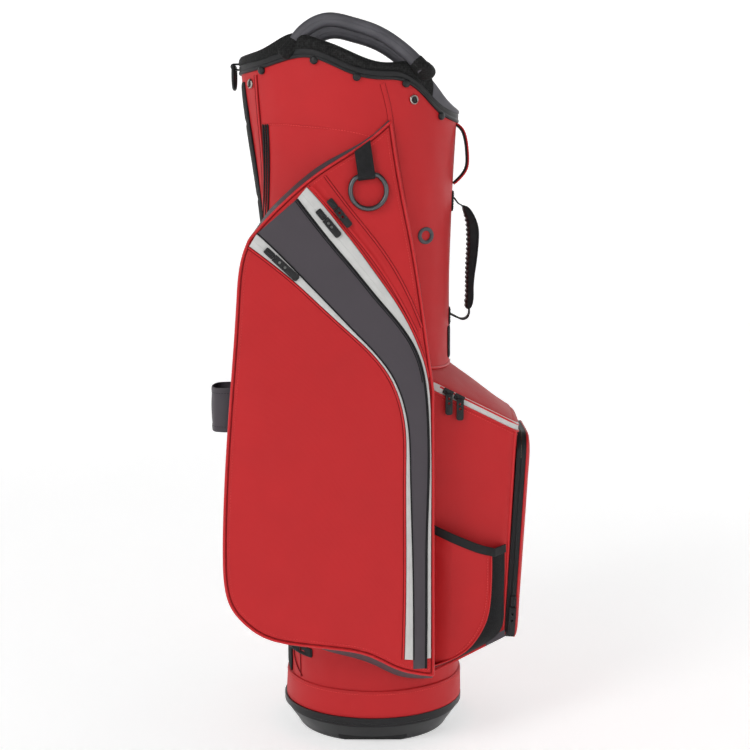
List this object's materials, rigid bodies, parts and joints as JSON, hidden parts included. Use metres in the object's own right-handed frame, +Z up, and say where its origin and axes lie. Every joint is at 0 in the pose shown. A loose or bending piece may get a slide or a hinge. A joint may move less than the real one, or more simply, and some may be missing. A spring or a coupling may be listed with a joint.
{
  "type": "golf cart bag",
  "caption": "Upright golf cart bag with a divided mouth, lift handles, side pockets with curved zips, a lidded front pocket, rings and a moulded base.",
  "frame": {"origin": "centre of the base's underside, on the floor", "axes": "+Z up along the bag, +X towards the front pockets and the grab handle, -Y towards the side with the towel ring"},
  "size_m": [0.402, 0.3746, 0.9191],
  "materials": {
    "red_fabric": "satin coated weave",
    "grey_fabric": "matte weave",
    "black_fabric": "matte",
    "black_mesh": "open mesh",
    "silver_zip": "satin",
    "webbing": "ribbed",
    "black_plastic": "satin",
    "boot_plastic": "gloss",
    "grey_rubber": "soft touch",
    "gunmetal": "polished",
    "snap_metal": "polished",
    "stay_metal": "drawn",
    "pull_coating": "moulded"
  },
  "bodies": {
    "bag": {"ball_pocket": "red_fabric", "ball_zip": "black_fabric", "base_boot": "boot_plastic", "base_cuff": "red_fabric", "body_shell": "red_fabric", "bottle_hem": "black_fabric", "bottle_mesh": "black_mesh", "bottle_pocket": "red_fabric", "divider_sleeves": "black_fabric", "floor_liner": "black_plastic", "front_grip": "grey_rubber", "front_pocket": "red_fabric", "glove_patch": "black_fabric", "grab_anchors": "webbing", "hood_studs": "snap_metal", "lid_hinge_strip": "red_fabric", "lid_slider_parked": "black_plastic", "lid_zip": "silver_zip", "lift_handles": "grey_rubber", "lift_loop": "red_fabric", "lower_tabs": "webbing", "mesh_collar": "black_mesh", "pocket_band_far": "grey_fabric", "pocket_band_near": "grey_fabric", "pocket_zips_far": "silver_zip", "pocket_zips_near": "silver_zip", "rim_binding": "black_plastic", "rim_rivets": "black_plastic", "ring_patch": "grey_rubber", "side_pocket_far": "red_fabric", "side_pocket_near": "red_fabric", "spine_panel": "black_fabric", "stay_rods": "stay_metal", "strap_ring_tab": "webbing", "top_divider": "black_plastic", "towel_ring_tab": "webbing", "umbrella_sleeve": "grey_fabric", "upper_side_zips": "black_fabric"},
    "lower_slider_near": {"lower_slider_near": "black_plastic"},
    "lower_pull_near": {"lower_pull_near": "pull_coating"},
    "middle_slider_near": {"middle_slider_near": "black_plastic"},
    "middle_pull_near": {"middle_pull_near": "pull_coating"},
    "upper_slider_near": {"upper_slider_near": "black_plastic"},
    "upper_pull_near": {"upper_pull_near": "pull_coating"},
    "lower_slider_far": {"lower_slider_far": "black_plastic"},
    "lower_pull_far": {"lower_pull_far": "pull_coating"},
    "middle_slider_far": {"middle_slider_far": "black_plastic"},
    "middle_pull_far": {"middle_pull_far": "pull_coating"},
    "upper_slider_far": {"upper_slider_far": "black_plastic"},
    "upper_pull_far": {"upper_pull_far": "pull_coating"},
    "towel_ring": {"towel_ring": "gunmetal"},
    "strap_ring": {"strap_ring": "black_plastic"},
    "lid": {"front_lid": "red_fabric"},
    "grab_handle": {"grab_grip": "black_fabric", "grab_webbing": "webbing"},
    "lid_slider_running": {"lid_slider_running": "black_plastic"},
    "lid_pull_parked": {"lid_pull_parked": "pull_coating"},
    "lid_pull_running": {"lid_pull_running": "pull_coating"},
    "ball_slider": {"ball_slider": "black_plastic"},
    "ball_pull": {"ball_pull": "pull_coating"}
  },
  "joints": [
    {"name": "lower_zip_near", "type": "slide", "parent": "bag", "child": "lower_slider_near", "axis": [0.7319, 0.0189, -0.6811], "range_m": [0, 0.098]},
    {"name": "lower_pull_swing_near", "type": "hinge", "parent": "lower_slider_near", "child": "lower_pull_near", "pos_m": [-0.11747, -0.14717, 0.62446], "axis": [-0.6729, -0.1369, -0.7269], "range_deg": [0, 110]},
    {"name": "middle_zip_near", "type": "slide", "parent": "bag", "child": "middle_slider_near", "axis": [0.638, 0.0009, -0.77], "range_m": [0, 0.045]},
    {"name": "middle_pull_swing_near", "type": "hinge", "parent": "middle_slider_near", "child": "middle_pull_near", "pos_m": [-0.05627, -0.13657, 0.66971], "axis": [-0.7626, -0.1382, -0.632], "range_deg": [0, 110]},
    {"name": "upper_zip_near", "type": "slide", "parent": "bag", "child": "upper_slider_near", "axis": [0.6173, -0.0028, -0.7867], "range_m": [0, 0.041]},
    {"name": "upper_pull_swing_near", "type": "hinge", "parent": "upper_slider_near", "child": "upper_pull_near", "pos_m": [-0.04294, -0.13404, 0.68207], "axis": [-0.7794, -0.1381, -0.6111], "range_deg": [0, 110]},
    {"name": "lower_zip_far", "type": "slide", "parent": "bag", "child": "lower_slider_far", "axis": [0.7319, -0.0189, -0.6811], "range_m": [0, 0.098]},
    {"name": "lower_pull_swing_far", "type": "hinge", "parent": "lower_slider_far", "child": "lower_pull_far", "pos_m": [-0.11747, 0.14717, 0.62446], "axis": [0.6729, -0.1369, 0.7269], "range_deg": [0, 110]},
    {"name": "middle_zip_far", "type": "slide", "parent": "bag", "child": "middle_slider_far", "axis": [0.638, -0.0009, -0.77], "range_m": [0, 0.045]},
    {"name": "middle_pull_swing_far", "type": "hinge", "parent": "middle_slider_far", "child": "middle_pull_far", "pos_m": [-0.05627, 0.13657, 0.66971], "axis": [0.7626, -0.1382, 0.632], "range_deg": [0, 110]},
    {"name": "upper_zip_far", "type": "slide", "parent": "bag", "child": "upper_slider_far", "axis": [0.6173, 0.0028, -0.7867], "range_m": [0, 0.041]},
    {"name": "upper_pull_swing_far", "type": "hinge", "parent": "upper_slider_far", "child": "upper_pull_far", "pos_m": [-0.04294, 0.13404, 0.68207], "axis": [0.7794, -0.1381, 0.6111], "range_deg": [0, 110]},
    {"name": "towel_ring_swing", "type": "hinge", "parent": "bag", "child": "towel_ring", "pos_m": [-0.00747, -0.12876, 0.72244], "axis": [-0.9845, -0.1178, -0.1298], "range_deg": [0, 125]},
    {"name": "strap_ring_swing", "type": "hinge", "parent": "bag", "child": "strap_ring", "pos_m": [-0.176, 0, 0.858], "axis": [0, 1, 0], "range_deg": [0, 125]},
    {"name": "lid_opening", "type": "hinge", "parent": "bag", "child": "lid", "pos_m": [0.108, 0, 0.4752], "axis": [0, -1, 0], "range_deg": [0, 60]},
    {"name": "grab_handle_swing", "type": "hinge", "parent": "bag", "child": "grab_handle", "pos_m": [0.112, 0, 0.615], "axis": [0, 0, 1], "range_deg": [-35, 35]},
    {"name": "lid_zip_run", "type": "slide", "parent": "bag", "child": "lid_slider_running", "axis": [0.8776, 0.1596, -0.452], "range_m": [0, 0.052]},
    {"name": "lid_pull_parked_swing", "type": "hinge", "parent": "bag", "child": "lid_pull_parked", "pos_m": [0.09518, -0.10049, 0.45187], "axis": [-0.9839, -0.1789, 0], "range_deg": [0, 110]},
    {"name": "lid_pull_running_swing", "type": "hinge", "parent": "lid_slider_running", "child": "lid_pull_running", "pos_m": [0.10918, -0.09795, 0.44466], "axis": [-0.9839, -0.1789, 0], "range_deg": [0, 110]},
    {"name": "ball_zip_run", "type": "slide", "parent": "bag", "child": "ball_slider", "axis": [0.0515, -0.0165, 0.9985], "range_m": [0, 0.18]},
    {"name": "ball_pull_swing", "type": "hinge", "parent": "ball_slider", "child": "ball_pull", "pos_m": [0.18056, -0.07076, 0.16948], "axis": [-0.9987, 0, 0.0515], "range_deg": [0, 110]}
  ]
}
